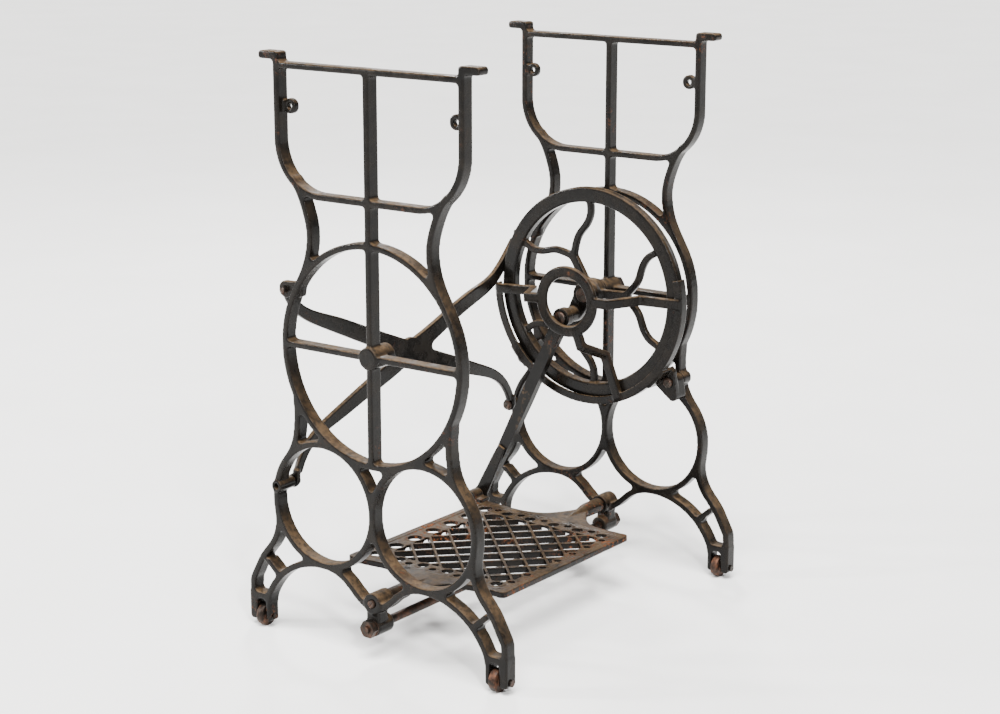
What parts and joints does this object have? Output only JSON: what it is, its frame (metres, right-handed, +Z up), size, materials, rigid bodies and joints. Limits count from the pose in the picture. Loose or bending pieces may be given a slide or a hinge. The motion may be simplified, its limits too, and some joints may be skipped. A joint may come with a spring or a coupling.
{
  "type": "treadle sewing machine stand",
  "caption": "Cast iron treadle stand with two openwork side frames, rear brace, spoked band wheel with guard, pitman, rocking lattice treadle and casters.",
  "frame": {"origin": "on the floor, midway between the two side frames, below the treadle's pivot axis", "axes": "+X along the wheel's axle towards the wheel side, -Y towards the operator, +Z up"},
  "size_m": [0.524, 0.393, 0.7],
  "materials": {
    "enamelled_iron": "worn satin black enamel on cast iron",
    "worn_iron": "black enamel worn through to rust on cast iron",
    "screw_steel": "dull steel with rust in the slots",
    "rusty_steel": "steel with old paint and brown rust",
    "bearing_metal": "oiled bearing steel",
    "caster_iron": "bare rusty cast iron",
    "painted_wood": "black painted hardwood"
  },
  "bodies": {
    "root": {"left_frame": "enamelled_iron", "right_frame": "enamelled_iron", "cross_brace": "enamelled_iron", "brace_screws": "screw_steel", "tie_rod": "rusty_steel", "tie_rod_washers": "rusty_steel", "tie_rod_nuts": "rusty_steel", "wheel_stud": "screw_steel", "stud_nut": "rusty_steel", "dress_guard": "enamelled_iron", "guard_screws": "screw_steel", "treadle_pivot_screws": "screw_steel", "caster_pins": "rusty_steel"},
    "wheel": {"band_wheel": "enamelled_iron", "wheel_bush": "bearing_metal", "crank_pin": "screw_steel"},
    "pitman": {"pitman_rod": "painted_wood", "pitman_head": "enamelled_iron", "pitman_bush": "bearing_metal", "pitman_strap": "enamelled_iron", "pitman_pivot_screw": "screw_steel"},
    "treadle": {"treadle": "worn_iron"},
    "caster_front_left": {"caster_front_left": "caster_iron"},
    "caster_front_right": {"caster_front_right": "caster_iron"},
    "caster_rear_left": {"caster_rear_left": "caster_iron"},
    "caster_rear_right": {"caster_rear_right": "caster_iron"}
  },
  "joints": [
    {"name": "wheel_spin", "type": "hinge", "parent": "root", "child": "wheel", "pos_m": [0.199, 0, 0.3616], "axis": [1, 0, 0], "continuous": true},
    {"name": "pitman_swing", "type": "hinge", "parent": "wheel", "child": "pitman", "pos_m": [0.1585, 0.016, 0.33389], "axis": [1, 0, 0], "continuous": true},
    {"name": "treadle_rock", "type": "hinge", "parent": "root", "child": "treadle", "pos_m": [0, 0, 0.068], "axis": [1, 0, 0], "range_deg": [0, 26]},
    {"name": "caster_front_left_roll", "type": "hinge", "parent": "root", "child": "caster_front_left", "pos_m": [-0.24, -0.17625, 0.014], "axis": [0, 1, 0], "continuous": true},
    {"name": "caster_front_right_roll", "type": "hinge", "parent": "root", "child": "caster_front_right", "pos_m": [0.24, -0.17625, 0.014], "axis": [0, 1, 0], "continuous": true},
    {"name": "caster_rear_left_roll", "type": "hinge", "parent": "root", "child": "caster_rear_left", "pos_m": [-0.24, 0.17625, 0.014], "axis": [0, 1, 0], "continuous": true},
    {"name": "caster_rear_right_roll", "type": "hinge", "parent": "root", "child": "caster_rear_right", "pos_m": [0.24, 0.17625, 0.014], "axis": [0, 1, 0], "continuous": true}
  ],
  "couplings": [
    {"joint": "pitman_swing", "follows": "wheel_spin", "ratio": -1}
  ]
}
